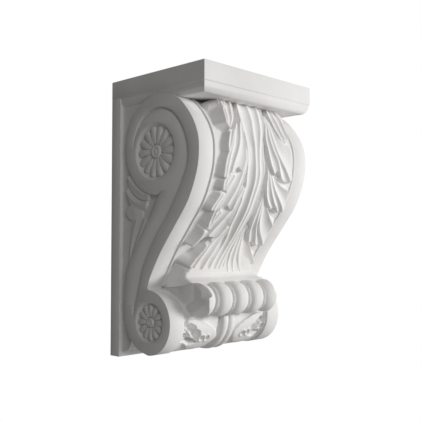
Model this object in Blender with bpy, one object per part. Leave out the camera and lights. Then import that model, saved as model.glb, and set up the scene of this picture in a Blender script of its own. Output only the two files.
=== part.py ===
"""A cast plaster corbel: a square cap on an S-shaped console with a volute above and a bolster below.

The frame is in metres with +Z up. The origin is the middle of the flat back, the front faces -Y, and
the console is the same on both sides of the plane X = 0. The moulded parts have sizes of their own. The
carving is drawn in units, 315 of them from the foot to the soffit, so that it keeps its proportions.
"""

import math

import bmesh
import bpy
import numpy as np

# Driving sizes, in metres: the block
HEIGHT = 0.350
WIDTH = 0.2025
CAP_DEPTH = 0.167
FASCIA = 0.023
MOULDING = 0.0125
MOULDING_SET = 0.0068
BOARD = 0.017
COVE = 0.005
BODY_LIFT = 0.007

# The scroll: how far the volute runs up into the cap and stands behind its front, and how far the
# bolster stands above the foot and clear of the board
VOLUTE_RADIUS = 0.0611
VOLUTE_TUCK = 0.0076
VOLUTE_SET = 0.0086
BOLSTER_RADIUS = 0.039
BOLSTER_LIFT = 0.0076
BOLSTER_GAP = 0.0163
FILLET = 0.023
BEAD = 0.005
BEAD_RISE = 0.0018
CHANNEL_DEPTH = 0.0033

# The round sinkings that hold the flowers
UPPER_EYE = 0.035
LOWER_EYE = 0.0244
EYE_DEPTH = 0.0035

# The roll on the bolster: how far it is let in and how far its ends stand inside the beads
ROLL_RADIUS = 0.020
ROLL_SINK = 0.0069
ROLL_SET = 0.0078
GADROON_DEPTH = 0.003

# Levels and places that follow from them; y runs back from the front, and z here runs up from the foot
FOOT = -HEIGHT / 2
SOFFIT = HEIGHT / 2 - FASCIA - MOULDING
UNIT = (SOFFIT - FOOT) / 315
OUTER = WIDTH / 2
FIELD = OUTER - COVE
PANEL = OUTER - FILLET - BEAD
BURY = 0.003
SUNK = BURY / UNIT
FRONTMOST = 1.114
VOLUTE_MIDDLE = (
    -CAP_DEPTH + VOLUTE_SET + FRONTMOST * VOLUTE_RADIUS, SOFFIT - FOOT + VOLUTE_TUCK - VOLUTE_RADIUS
)
BOLSTER_MIDDLE = (-BOARD - BOLSTER_GAP - BOLSTER_RADIUS, BOLSTER_LIFT + BOLSTER_RADIUS)
ROLL_TURN = math.radians(30.2)
ROLL_REACH = BOLSTER_RADIUS + ROLL_RADIUS - ROLL_SINK
ROLL_MIDDLE = (
    BOLSTER_MIDDLE[0] - ROLL_REACH * math.cos(ROLL_TURN),
    BOLSTER_MIDDLE[1] + ROLL_REACH * math.sin(ROLL_TURN),
)
ROLL_END = PANEL - ROLL_SET

# The scroll's edges. Near the volute and the bolster they are given from its middle, as shares of its
# radius, and between the two as shares of the way from the bolster to the volute.
FRONT_VOLUTE = [
    (0.0, 1.0), (-0.286, 0.957), (-0.531, 0.843), (-0.730, 0.667), (-0.907, 0.459), (-1.029, 0.255),
    (-1.096, 0.042), (-FRONTMOST, -0.186), (-1.096, -0.415), (-1.013, -0.742),
]
FRONT_WAIST = [(0.867, 0.799), (0.653, 0.607), (0.407, 0.402), (0.180, 0.196)]
FRONT_BOLSTER = [(-0.130, 1.465), (0.023, 1.107)]
BACK_BOLSTER = [
    (0.0, -1.0), (0.386, -0.885), (0.632, -0.760), (0.834, -0.560), (0.987, -0.355), (1.120, 0.084),
    (1.136, 0.588), (1.084, 1.235),
]
BACK_WAIST = [(0.148, 0.222), (0.376, 0.456), (0.631, 0.661), (0.816, 0.826)]
BACK_VOLUTE = [(0.020, -1.056), (-0.126, -0.925)]

# The hollow that follows the scroll on each side, from inside the volute to the bolster
CHANNEL_VOLUTE = [
    (0.809, 0.075), (0.596, 0.508), (-0.016, 0.732), (-0.596, 0.405), (-0.838, -0.219), (-0.621, -0.864),
]
CHANNEL_WAIST = [(0.600, 0.668), (0.185, 0.313)]
CHANNEL_BOLSTER = [(0.496, 0.826), (0.701, 0.136)]
CHANNEL_WIDTH = [1.0, 5.0, 5.8, 8.0, 12.5, 12.5, 12.5, 12.5, 11.5, 1.0]

# How far the middles of the sinkings stand off those of the volute and the bolster, as shares of the
# sinking's radius, and the flowers' petals
UPPER_EYE_SHIFT = (0.211, -0.236)
LOWER_EYE_SHIFT = (-0.066, 0.008)
UPPER_PETALS = 14
LOWER_PETALS = 12

# The rings of a flower: share of the sinking's radius, petal notch, then the groove's depth and the
# height over the floor as shares of the sinking's depth
FLOWER_RINGS = [
    (0.84, 0.15, 0.0, -0.34), (0.81, 0.15, 0.17, 0.31), (0.50, 0.0, 0.43, 0.77), (0.29, 0.0, 0.11, 0.40),
    (0.24, 0.0, 0.0, 0.80), (0.10, 0.0, 0.0, 0.97),
]

# The acanthus leaf, drawn on the front as (distance from the middle, distance down the front line) on a
# panel that is this wide from its middle to the beads
LEAF_HALF = 73.4
LOBES = {
    "top": (
        [(8.0, 40.0), (20.0, 60.0), (36.0, 78.0), (49.0, 89.0)],
        [(60.0, 24.0), (63.0, 49.0), (57.0, 66.0), (57.0, 77.0), (54.0, 85.0)],
    ),
    "shoulder": (
        [(15.0, 56.0), (18.0, 80.0), (18.5, 101.0), (22.0, 118.0), (29.0, 135.0)],
        [(24.0, 56.0), (44.0, 76.0), (58.0, 94.0), (61.0, 112.0), (64.0, 127.0), (64.0, 140.0)],
    ),
    "waist": (
        [(10.0, 100.0), (16.0, 124.0), (18.0, 143.0), (22.0, 158.0), (29.5, 174.0)],
        [(22.0, 102.0), (42.0, 120.0), (57.0, 138.0), (62.0, 156.0), (63.0, 176.0)],
    ),
    "flank": (
        [(7.0, 146.0), (13.0, 172.0), (18.0, 196.0), (23.6, 221.0)],
        [(18.0, 146.0), (40.0, 166.0), (57.0, 186.0), (63.0, 208.0), (66.0, 229.0)],
    ),
    "foot": (
        [(5.0, 186.0), (9.0, 212.0), (4.0, 238.0), (4.0, 255.0), (16.0, 267.0)],
        [(16.0, 188.0), (36.0, 208.0), (52.0, 228.0), (61.0, 248.0), (47.0, 266.0)],
    ),
}
LEAF_RISE = [(24, 15.0), (46, 14.5), (62, 13.5), (75, 9.5), (88, 7.0), (130, 7.5), (172, 11.5), (221, 11.5),
             (240, 15.0), (255, 18.5), (275, 20.0)]
STEM_WIDTH = [(27, 42.0), (60, 27.0), (101, 19.0), (143, 18.0), (190, 12.0), (250, 9.0), (262, 4.0)]
STEM_RISE = [(24, 15.0), (46, 14.0), (62, 12.5), (75, 7.5), (101, 4.0), (143, 6.0), (172, 8.5), (262, 9.5)]

# Its smooth foot, which ends just short of the bolster
FOOT_WIDTH = [(214, 46.0), (239, 54.0), (258, 69.0), (291, 73.0)]
FOOT_RISE = [(214, -2.0), (232, 9.0), (245, 14.0), (262, 16.5), (280, 21.0), (291, 22.0)]
LEAF_RUN = FOOT_RISE[-1][0] + 4.0

# The leaf's foot curls forward over the bolster as a roll with gadroons, one in the middle and two on
# either side, and this is their pitch as a share of the roll's half length
GADROON = 0.45

PLASTER = (0.83, 0.81, 0.78, 1.0)


def fresh_collection(name, hidden):
    group = bpy.data.collections.new(name)
    bpy.context.scene.collection.children.link(group)
    group.hide_render = hidden
    return group


def keep(name, mesh, group):
    """Puts a mesh in the scene as an object of this group; those of a hidden group show as wires."""
    thing = bpy.data.objects.new(name, mesh)
    group.objects.link(thing)
    if group.hide_render:
        thing.hide_render = True
        thing.display_type = "WIRE"
    return thing


def mesh_of(work, name):
    """Closes a bmesh: doubles merged, faces turned out."""
    bmesh.ops.remove_doubles(work, verts=work.verts, dist=1e-6)
    bmesh.ops.recalc_face_normals(work, faces=work.faces)
    mesh = bpy.data.meshes.new(name)
    work.to_mesh(mesh)
    work.free()
    mesh.shade_smooth()
    mesh.set_sharp_from_angle(angle=math.radians(40))
    return mesh


def smooth_line(knots, steps):
    """Points of a Catmull-Rom curve through the knots, the same number between each two."""
    knots = np.array(knots, float)
    ends = np.vstack([2 * knots[0] - knots[1], knots, 2 * knots[-1] - knots[-2]])
    points = []
    for before, a, b, after in zip(ends, ends[1:], ends[2:], ends[3:]):
        for t in np.arange(steps) / steps:
            points.append(
                0.5 * (2 * a + (b - before) * t + (2 * before - 5 * a + 4 * b - after) * t**2
                       + (3 * a - before - 3 * b + after) * t**3)
            )
    points.append(knots[-1])
    return np.array(points)


def along_line(knots, t):
    """The point a share t of the way along the knots' smooth curve, by knot number."""
    line = smooth_line(knots, 8)
    place = t * (len(line) - 1)
    low = min(int(place), len(line) - 2)
    return line[low] + (place - low) * (line[low + 1] - line[low])


def about(middle, radius, shares):
    """Points given from the middle of a circle as shares of its radius."""
    return [(middle[0] + radius * y, middle[1] + radius * z) for y, z in shares]


def between(one, two, shares):
    """Points given as shares of the way from one point to another, back and up on their own."""
    return [(one[0] + (two[0] - one[0]) * y, one[1] + (two[1] - one[1]) * z) for y, z in shares]


def from_volute_to_bolster(upper, waist, lower):
    """The knots of a line of the scroll, from the volute down to the bolster."""
    upper = about(VOLUTE_MIDDLE, VOLUTE_RADIUS, upper)
    lower = about(BOLSTER_MIDDLE, BOLSTER_RADIUS, lower)
    return [*upper, *between(lower[0], upper[-1], waist), *lower]


def arc(middle, radius, start, end, steps):
    """Points of an arc in the side view, its angles in degrees from the wall's direction upwards."""
    turns = np.radians(np.linspace(start, end, steps + 1))
    return np.column_stack([middle[0] + radius * np.cos(turns), middle[1] + radius * np.sin(turns)])


def table(pairs, place):
    """A value that runs straight between the pairs of a short table."""
    places, values = zip(*pairs)
    return float(np.interp(place, places, values))


def world(x, y, z):
    """A point whose height z is measured from the foot."""
    return (x, y, FOOT + z)


def across_panel(side, across):
    """The place X of a distance from the middle, in units of a panel LEAF_HALF wide."""
    return side * across * PANEL / LEAF_HALF


class FrontFace:
    """Places a point by its distance from the middle, its distance down the front and its height."""

    knots = from_volute_to_bolster(FRONT_VOLUTE, FRONT_WAIST, FRONT_BOLSTER)
    line = smooth_line(knots, 10)
    run = np.concatenate([[0], np.cumsum(np.hypot(*np.diff(line, axis=0).T))])
    slope = np.gradient(line, axis=0)
    slope = slope / np.hypot(*slope.T)[:, None]

    @classmethod
    def place(cls, side, across, down, rise):
        share = down / LEAF_RUN * cls.run[-1]
        y, z, slope_y, slope_z = (
            float(np.interp(share, cls.run, values)) for values in (*cls.line.T, *cls.slope.T)
        )
        rise *= UNIT
        return world(across_panel(side, across), y + slope_z * rise, z - slope_y * rise)


def bolster_place(side, across, turn, rise):
    """A point on the bolster: the turn is in degrees up from straight forward."""
    reach = BOLSTER_RADIUS + rise * UNIT
    y = BOLSTER_MIDDLE[0] - reach * math.cos(math.radians(turn))
    z = BOLSTER_MIDDLE[1] + reach * math.sin(math.radians(turn))
    return world(across_panel(side, across), y, z)


def field_place(side, ahead, up, rise):
    """A point on the sunk field of a side, by its units ahead of the board and up from the foot."""
    return world(side * (FIELD + rise * UNIT), -BOARD - ahead * UNIT, up * UNIT)


def face_place(side, y, z, rise):
    """A point on the flat side of the scroll."""
    return world(side * (OUTER + rise), y, z)


def lofted(name, rings, group):
    """A closed body through rings of as many points each, with a flat cap at either end."""
    work = bmesh.new()
    loops = [[work.verts.new(point) for point in ring] for ring in rings]
    for one, two in zip(loops, loops[1:]):
        for i in range(len(one)):
            j = (i + 1) % len(one)
            work.faces.new((one[i], one[j], two[j], two[i]))
    work.faces.new(loops[0])
    work.faces.new(reversed(loops[-1]))
    return keep(name, mesh_of(work, name), group)


def plate(name, outline, x0, x1, group):
    """A flat plate with this side view from x0 to x1."""
    curve = bpy.data.curves.new(name, "CURVE")
    curve.dimensions = "2D"
    curve.fill_mode = "BOTH"
    curve.extrude = abs(x1 - x0) / 2
    spline = curve.splines.new("POLY")
    spline.points.add(len(outline) - 1)
    for point, (y, z) in zip(spline.points, outline):
        point.co = (y, FOOT + z, 0, 1)
    spline.use_cyclic_u = True
    flat = bpy.data.objects.new(name, curve)
    group.objects.link(flat)
    bpy.context.view_layer.update()
    made = bpy.data.meshes.new_from_object(flat.evaluated_get(bpy.context.evaluated_depsgraph_get()))
    work = bmesh.new()
    work.from_mesh(made)
    for vert in work.verts:
        y, z, x = vert.co
        vert.co = (x + (x0 + x1) / 2, y, z)
    bpy.data.objects.remove(flat)
    bpy.data.curves.remove(curve)
    bpy.data.meshes.remove(made)
    return keep(name, mesh_of(work, name), group)


def stepped_block(name, size, middle, face, profile, group):
    """A box whose bottom or front grows by the profile's (inwards, outwards) steps, as a moulding does."""
    work = bmesh.new()
    bmesh.ops.create_cube(work, size=1)
    for vert in work.verts:
        vert.co = [m + s * c for m, s, c in zip(middle, size, vert.co)]
    axis = "xyz".index(face)
    end = min(work.faces, key=lambda f: f.calc_center_median()[axis])
    last = (0.0, 0.0)
    for inwards, outwards in profile:
        grown = bmesh.ops.extrude_face_region(work, geom=[end])["geom"]
        fresh = [v for v in grown if isinstance(v, bmesh.types.BMVert)]
        bmesh.ops.delete(work, geom=[end], context="FACES_ONLY")
        for vert in fresh:
            vert.co[axis] -= outwards - last[1]
            vert.co.x -= math.copysign(inwards - last[0], vert.co.x)
            if face == "z" and vert.co.y < middle[1]:
                vert.co.y += inwards - last[0]
            if face == "y" and vert.co.z < middle[2]:
                vert.co.z += inwards - last[0]
        end = next(f for f in grown if isinstance(f, bmesh.types.BMFace))
        last = (inwards, outwards)
    return keep(name, mesh_of(work, name), group)


def make_cap(group):
    """The square cap: a flat fascia with a slightly rounded splay below it on three sides."""
    profile = [
        (MOULDING_SET * (0.06 + 0.94 * share**1.2), MOULDING * share) for share in (0.1, 0.3, 0.5, 0.75, 1.0)
    ]
    stepped_block(
        "cap", (WIDTH, CAP_DEPTH, FASCIA), (0, -CAP_DEPTH / 2, HEIGHT / 2 - FASCIA / 2), "z", profile, group
    )


def make_board(group):
    """The back board, with a hollow moulding that runs in to the sunk fields of the console."""
    steps = [math.radians(a) for a in range(0, 91, 18)]
    profile = [(COVE * math.sin(a), COVE * (1 - math.cos(a)) + 1e-4) for a in steps]
    top = HEIGHT / 2 - FASCIA / 2
    stepped_block(
        "board", (WIDTH, BOARD, top - FOOT), (0, -BOARD / 2, (top + FOOT) / 2), "y", profile, group
    )


def make_console(group):
    """The S-shaped body between the sunk fields, and the flush scroll on either side of it."""
    front = smooth_line(FrontFace.knots, 2)
    around = arc(BOLSTER_MIDDLE, BOLSTER_RADIUS, 90, 270, 16)
    behind = arc(BOLSTER_MIDDLE, BOLSTER_RADIUS, 270, 333, 5)[1:]
    foot = (-BOARD - COVE, BODY_LIFT)
    underside = [behind[-1], *between(foot, behind[-1], [(0.87, 0.55), (0.61, 0.16)]), foot]
    core = [(-BOARD / 2, front[0][1]), *front, *around, *behind, *smooth_line(underside, 2)[1:]]
    plate("core", [*core, (-BOARD / 2, BODY_LIFT)], -FIELD, FIELD, group)
    volute = arc(VOLUTE_MIDDLE, VOLUTE_RADIUS, -88, 90, 24)
    back = from_volute_to_bolster(BACK_VOLUTE[::-1], BACK_WAIST[::-1], BACK_BOLSTER[::-1])[::-1]
    scroll = [*front, *around[:-1], *smooth_line(back, 2), *volute[:-1]]
    for side in (-1, 1):
        plate("scroll", scroll, side * (FIELD - BURY), side * OUTER, group)


def carved_leaf(name, place, side, edges, rise, group, along=8, flutes=3, slopes=(0.25, 0.75), depth=2.2,
                tip=3.0):
    """A leaf between two edge lines, with hollow flutes along it and walls that slope down to its ground.

    rise(across, down, t) is its height, and slopes are the walls' runs as shares of that height.
    """
    rings = []
    for t in np.linspace(0, 1, along + 1):
        inner, outer = (along_line(edge, t) for edge in edges)
        reach = (inner - outer) / np.hypot(*(inner - outer))
        top = [inner + (outer - inner) * v for v in np.linspace(0, 1, 2 * flutes + 1)]
        heights = [rise(*point, t) - (depth if i % 2 else 0) for i, point in enumerate(top)]
        wide = inner + reach * slopes[0] * heights[0]
        far = outer - reach * slopes[1] * heights[-1]
        top = [(*point, height) for point, height in zip(top, heights)]
        rings.append([(*wide, -1.4 * SUNK), *top, (*far, -1.4 * SUNK)])
    for end, near in ((0, 1), (-1, -2)):
        ring = np.array(rings[end])
        away = (ring - np.array(rings[near])).mean(axis=0)[:2]
        ring[:, :2] += away / np.hypot(*away) * tip
        ring[1:-1, 2] = -0.4 * SUNK
        rings.insert(0 if end == 0 else len(rings), ring)
    rings = [[place(side, *point) for point in ring] for ring in rings]
    return lofted(name, rings, group)


def make_leaf(group):
    """The acanthus leaf that hangs down the front: five lobes a side, a ribbed stem and a smooth foot."""

    def lobe_rise(across, down, t):
        return table(LEAF_RISE, down) - 3.0 * (1 - t) ** 1.5 - 1.5 * (across / 70) ** 2

    for side in (-1, 1):
        for name, edges in LOBES.items():
            carved_leaf("lobe_" + name, FrontFace.place, side, edges, lobe_rise, group)
    rings = []
    for down in np.linspace(27, STEM_WIDTH[-1][0], 13):
        half = table(STEM_WIDTH, down)
        high = table(STEM_RISE, down)
        ring = [FrontFace.place(1, -half - 2, down, -SUNK)]
        for i, v in enumerate(np.linspace(-1, 1, 11)):
            ring.append(FrontFace.place(1, v * half, down, high - (1.4 if i % 2 == 0 else 0.0)))
        ring.append(FrontFace.place(1, half + 2, down, -SUNK))
        rings.append(ring)
    lofted("stem", rings, group)
    rings = []
    for down in np.linspace(FOOT_RISE[0][0], FOOT_RISE[-1][0], 8):
        high = table(FOOT_RISE, down)
        foot = table(FOOT_WIDTH, down)
        crest = foot - 0.36 * max(high, 0)
        ring = [(-foot, -3.0), (-crest, high - 0.6), (-crest / 2, high), (0, high), (crest / 2, high)]
        ring += [(crest, high - 0.6), (foot, -3.0)]
        rings.append([FrontFace.place(1, across, down, rise) for across, rise in ring])
    lofted("leaf_foot", rings, group)
    neck = [
        *about(BOLSTER_MIDDLE, BOLSTER_RADIUS, [(-0.297, 1.772)]),
        *about(ROLL_MIDDLE, ROLL_RADIUS, [(1.225, 1.65), (1.1, 1.25), (0.9, 0.975), (0.625, 0.925)]),
        *about(ROLL_MIDDLE, ROLL_RADIUS, [(0.275, 0.95), (0.075, 0.05)]),
        *about(BOLSTER_MIDDLE, BOLSTER_RADIUS, [(-0.041, 0.084), (0.164, 0.954), (-0.041, 1.312)]),
    ]
    plate("neck", neck, -0.97 * ROLL_END, 0.97 * ROLL_END, group)


def gadroon_height(across):
    """How far the roll's surface stands out at this distance from the middle."""
    share = abs((across / ROLL_END / GADROON + 0.5) % 1 - 0.5) * 2
    return GADROON_DEPTH * math.sqrt(max(0.0, 1 - share**2))


def make_roll(group):
    """The roll, from ring to ring along its length, with its ends drawn in a little."""
    shares = {-1.0, 1.0}
    for k in range(-2, 3):
        shares |= {round((k + v) * GADROON, 4) for v in (-0.5, -0.42, -0.2, 0.2, 0.42)}
    rings = []
    for share in sorted(s for s in shares if abs(s) <= 1):
        reach = ROLL_RADIUS - GADROON_DEPTH + gadroon_height(share * ROLL_END)
        if abs(share) == 1:
            reach -= GADROON_DEPTH / 2
        ring = arc(ROLL_MIDDLE, reach, 0, 360, 16)[:-1]
        rings.append([world(share * ROLL_END, y, z) for y, z in ring])
    lofted("roll", rings, group)


def make_bolster_carving(group):
    """A belt of two rolls round the middle of the bolster, and a leaf on either side of it."""
    rings = []
    for across, rise in [(-12, -2), (-12, 0.6), (-10.5, 2.0), (-6, 3.0), (-1.5, 2.0), (0, 0.8), (1.5, 2.0),
                         (6, 3.0), (10.5, 2.0), (12, 0.6), (12, -2)]:
        rings.append([bolster_place(1, across, turn, rise) for turn in range(-135, 91, 15)])
    lofted("belt", rings, group)
    edges = (
        [(13.0, -30.0), (30.0, -8.0), (50.0, 4.0), (72.0, 6.0)],
        [(13.0, -62.0), (30.0, -72.0), (52.0, -70.0), (66.0, -48.0)],
    )

    def husk_rise(across, turn, t):
        return 1.2 + 2.0 * math.sin(math.pi * min(1.0, 0.25 + t))

    for side in (-1, 1):
        carved_leaf("bolster_leaf", bolster_place, side, edges, husk_rise, group, along=7,
                    slopes=(0.6, 0.6), depth=0.9)


def make_beads(group):
    """A thin bead beside each flat fillet, down to the bolster."""
    steps = np.linspace(0, LEAF_RUN, 25)
    for side in (-1, 1):
        x = side * (PANEL + BEAD / 2)
        curve = bpy.data.curves.new("bead", "CURVE")
        curve.dimensions = "3D"
        curve.bevel_depth = BEAD / 2
        curve.bevel_resolution = 1
        curve.use_fill_caps = True
        spline = curve.splines.new("POLY")
        spline.points.add(len(steps) - 1)
        for point, down in zip(spline.points, steps):
            _, y, z = FrontFace.place(0, 0, down, -(BEAD / 2 - BEAD_RISE) / UNIT)
            point.co = (x, y, z, 1)
        thing = bpy.data.objects.new("bead", curve)
        group.objects.link(thing)
        bpy.context.view_layer.update()
        made = bpy.data.meshes.new_from_object(thing.evaluated_get(bpy.context.evaluated_depsgraph_get()))
        work = bmesh.new()
        work.from_mesh(made)
        bpy.data.objects.remove(thing)
        bpy.data.curves.remove(curve)
        keep("bead", mesh_of(work, "bead"), group)


def make_sprigs(group):
    """A husk of three small leaves that grows up each sunk field behind the scroll."""
    leaves = [
        ([(14.0, 226.0), (12.5, 212.0), (25.0, 203.0), (45.0, 192.0)],
         [(16.0, 227.0), (31.0, 216.0), (45.0, 206.0), (55.0, 200.0)], 3.5),
        ([(11.6, 213.0), (10.0, 201.0), (20.0, 188.0), (41.0, 178.0)],
         [(12.5, 214.0), (23.0, 203.0), (33.0, 196.0), (47.0, 190.0)], 3.0),
        ([(14.0, 188.0), (9.5, 179.0), (14.0, 170.0), (33.0, 162.0)],
         [(16.0, 190.0), (25.0, 186.0), (35.0, 182.0), (49.0, 178.0)], 2.5),
        ([(11.0, 108.0), (12.5, 128.0), (14.5, 150.0), (19.0, 176.0)],
         [(17.0, 108.0), (31.0, 128.0), (43.0, 150.0), (49.0, 176.0)], 1.8),
    ]
    for side in (-1, 1):
        for inner, outer, high in leaves:
            def leaf_rise(ahead, up, t, high=high):
                return high * math.sin(math.pi * (0.12 + 0.75 * t))
            carved_leaf("sprig", field_place, side, (inner, outer), leaf_rise, group, along=5, flutes=1,
                        slopes=(0.5, 0.5), depth=-0.9)


def make_channels(group):
    """Cutters for the hollow of each scroll: a steep outer wall and a slope up to the inner edge."""
    line = smooth_line(from_volute_to_bolster(CHANNEL_VOLUTE, CHANNEL_WAIST, CHANNEL_BOLSTER), 4)
    widths = smooth_line([(w, 0) for w in CHANNEL_WIDTH], 4)[:, 0]
    slope = np.gradient(line, axis=0)
    slope /= np.hypot(*slope.T)[:, None]
    inward = np.column_stack([slope[:, 1], -slope[:, 0]])
    inward *= np.sign(np.sum(inward[8] * (np.array(VOLUTE_MIDDLE) - line[8])))
    over = CHANNEL_DEPTH / 3
    for side in (-1, 1):
        rings = []
        for point, towards, width in zip(line, inward, widths):
            sink = CHANNEL_DEPTH * min(1.0, width / 5.0)
            outer = face_place(side, *point, over)
            root = face_place(side, *(point + 0.2 * sink * towards), -sink)
            inner = face_place(side, *(point + towards * width * UNIT * (1 + over / sink)), over)
            rings.append([outer, root, inner])
        lofted("channel", rings, group)


def flower_places():
    """The middle, the sinking's radius and the number of petals of the two flowers of a side."""
    upper, = about(VOLUTE_MIDDLE, UPPER_EYE, [UPPER_EYE_SHIFT])
    lower, = about(BOLSTER_MIDDLE, LOWER_EYE, [LOWER_EYE_SHIFT])
    return [(upper, UPPER_EYE, UPPER_PETALS), (lower, LOWER_EYE, LOWER_PETALS)]


def make_eyes(group):
    """Cutters for the round sinkings that hold the flowers."""
    lip = EYE_DEPTH / 3
    for side in (-1, 1):
        for middle, radius, _ in flower_places():
            run = 0.16 * radius
            rings = [
                [face_place(side, y, z, rise) for y, z in arc(middle, reach, 0, 360, 32)[:-1]]
                for reach, rise in ((radius + run * lip / EYE_DEPTH, lip), (radius - run, -EYE_DEPTH))
            ]
            lofted("sinking", rings, group)


def make_flowers(group):
    """Daisy-like flowers on the floors of the sinkings, with a round button in the middle."""
    for side in (-1, 1):
        for middle, radius, petals in flower_places():
            rings = []
            for share, notch, groove, high in FLOWER_RINGS:
                ring = []
                for i, (y, z) in enumerate(arc((0, 0), radius, 0, 360, petals * 3)[:-1]):
                    reach = share * (1.0 - (notch if i % 3 == 0 else 0.0))
                    top = (high - (groove if i % 3 == 0 else 0.0)) * EYE_DEPTH
                    spot = (middle[0] + y * reach, middle[1] + z * reach)
                    ring.append(face_place(side, *spot, top - EYE_DEPTH))
                rings.append(ring)
            lofted("flower", rings, group)


def main():
    for thing in list(bpy.data.objects):
        bpy.data.objects.remove(thing)
    shown = fresh_collection("corbel", False)
    masses = fresh_collection("masses", True)
    cutters = fresh_collection("cutters", True)
    flowers = fresh_collection("flowers", True)
    make_cap(shown)
    block = shown.objects["cap"]
    block.name = "corbel"
    make_board(masses)
    make_console(masses)
    make_beads(masses)
    make_leaf(masses)
    make_roll(masses)
    make_bolster_carving(masses)
    make_sprigs(masses)
    make_channels(cutters)
    make_eyes(cutters)
    make_flowers(flowers)
    for name, group, operation in (
        ("cast", masses, "UNION"), ("hollow", cutters, "DIFFERENCE"), ("bloom", flowers, "UNION")
    ):
        step = block.modifiers.new(name, "BOOLEAN")
        step.operation = operation
        step.operand_type = "COLLECTION"
        step.collection = group
        step.solver = "EXACT"
        step.use_self = operation == "UNION"
    plaster = bpy.data.materials.new("plaster")
    plaster.use_nodes = True
    shader = plaster.node_tree.nodes["Principled BSDF"]
    shader.inputs["Base Color"].default_value = PLASTER
    shader.inputs["Roughness"].default_value = 0.85
    shader.inputs["Metallic"].default_value = 0.0
    block.data.materials.append(plaster)


main()
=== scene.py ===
import math

import bmesh
import bpy
import numpy as np
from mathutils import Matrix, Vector

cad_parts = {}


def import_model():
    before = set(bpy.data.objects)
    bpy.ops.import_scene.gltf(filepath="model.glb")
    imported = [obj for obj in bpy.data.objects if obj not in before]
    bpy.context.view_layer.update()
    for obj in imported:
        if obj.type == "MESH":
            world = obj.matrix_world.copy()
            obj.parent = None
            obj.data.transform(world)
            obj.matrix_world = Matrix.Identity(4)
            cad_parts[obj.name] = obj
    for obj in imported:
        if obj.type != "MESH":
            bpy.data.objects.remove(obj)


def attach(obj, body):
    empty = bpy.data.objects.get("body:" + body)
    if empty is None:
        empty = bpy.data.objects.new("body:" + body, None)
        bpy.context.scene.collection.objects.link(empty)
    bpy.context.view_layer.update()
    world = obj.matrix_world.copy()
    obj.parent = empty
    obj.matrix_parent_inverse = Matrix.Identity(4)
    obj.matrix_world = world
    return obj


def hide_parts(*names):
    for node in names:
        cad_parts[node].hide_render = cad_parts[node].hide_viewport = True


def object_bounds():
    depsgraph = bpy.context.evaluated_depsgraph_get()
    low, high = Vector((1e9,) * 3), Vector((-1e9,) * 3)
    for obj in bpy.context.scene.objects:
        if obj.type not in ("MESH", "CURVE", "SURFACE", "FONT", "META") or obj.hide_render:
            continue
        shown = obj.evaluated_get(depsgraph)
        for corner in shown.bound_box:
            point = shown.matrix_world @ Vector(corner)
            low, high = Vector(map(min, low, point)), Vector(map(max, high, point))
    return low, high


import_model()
cad_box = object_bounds()

# The block, in metres: its outer size is the CAD part's
WIDTH, CAP_DEPTH, HEIGHT = (round(float(high - low), 6) for low, high in zip(*cad_box))
FASCIA = 0.023
OVOLO = 0.0125
OVOLO_SET = 0.0068
BOARD = 0.017
COVE = 0.005
COVE_STEP = 0.0006
FILLET = 0.023
# The board stays this far inside the block's faces, so that it doesn't lie on the cap's
CLEAR = 0.0001

FOOT = -HEIGHT / 2
SOFFIT = HEIGHT / 2 - FASCIA - OVOLO
UNIT = (SOFFIT - FOOT) / 315
OUTER = WIDTH / 2
FIELD = OUTER - COVE
PANEL = OUTER - FILLET

# The console is drawn in units, with y forwards from the wall as a minus number and z up from the foot
FRONT_LINE = [
    (-90.5, 322.6), (-121.1, 314.3), (-143.5, 292.6), (-156.0, 269.5), (-158.8, 248.0), (-155.0, 223.0),
    (-141.0, 191.2), (-118.0, 161.3), (-95.0, 132.0), (-77.5, 104.0), (-71.5, 89.5),
]
BACK_LINE = [
    (-72.4, 7.6), (-57.3, 11.6), (-47.7, 17.0), (-39.0, 26.0), (-33.0, 35.5), (-29.2, 48.0), (-28.0, 66.0),
    (-28.6, 84.0), (-31.6, 103.0), (-38.4, 118.5), (-46.6, 132.7), (-59.9, 151.3), (-74.8, 171.9),
    (-83.9, 187.0), (-90.5, 198.0), (-97.5, 205.5),
]
# How far along the front line the leaf and the beads begin, hidden by the cap
FRONT_START = 14
UNDERSIDE = [(-37.0, 29.0), (-35.5, 19.0), (-31.5, 10.5), (-22.0, 7.0)]
VOLUTE_MIDDLE = (-90.5, 261.4)
VOLUTE_RADIUS = 61.2
BOLSTER_MIDDLE = (-72.4, 46.7)
BOLSTER_RADIUS = 39.1
# The scroll's sunk channel: its outer edge, its width at each of those points, and its depth
CHANNEL_LINE = [
    (-41.5, 262.0), (-44.8, 276.0), (-54.0, 292.5), (-69.0, 302.8), (-91.5, 306.6), (-112.0, 300.0),
    (-127.0, 286.2), (-137.5, 267.5), (-141.8, 248.0), (-139.5, 231.5), (-128.5, 208.5), (-107.0, 176.0),
    (-89.3, 154.9), (-72.9, 130.7), (-61.8, 108.5), (-54.4, 83.7), (-48.5, 64.0), (-45.0, 52.0),
]
CHANNEL_WIDTH = [
    0.5, 2.5, 5.0, 5.5, 5.8, 6.2, 7.2, 9.0, 12.0, 13.0, 13.0, 12.5, 12.5, 12.5, 12.5, 11.0, 6.0, 0.5,
]
CHANNEL_DEPTH = 3.2
# Each flower: its sinking's middle and radius, and its number of petals
UPPER_FLOWER = ((-83.1, 253.1), 35.1, 14)
LOWER_FLOWER = ((-74.0, 46.9), 24.4, 12)
FLOWER_DEPTH = 4.6
# A sinking's rings, as shares of its radius, and their heights
SINKING = ((1.0, 0.0), (0.92, -3.2), (0.86, -FLOWER_DEPTH), (0.7, -FLOWER_DEPTH))
# How far the core lies below the bolster's face and in from the front line, and its top and back
CORE_SUNK = 11.0
CORE_IN = (6, -1)
CONSOLE_TOP = 322.6
CORE_BACK = -5.0

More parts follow.
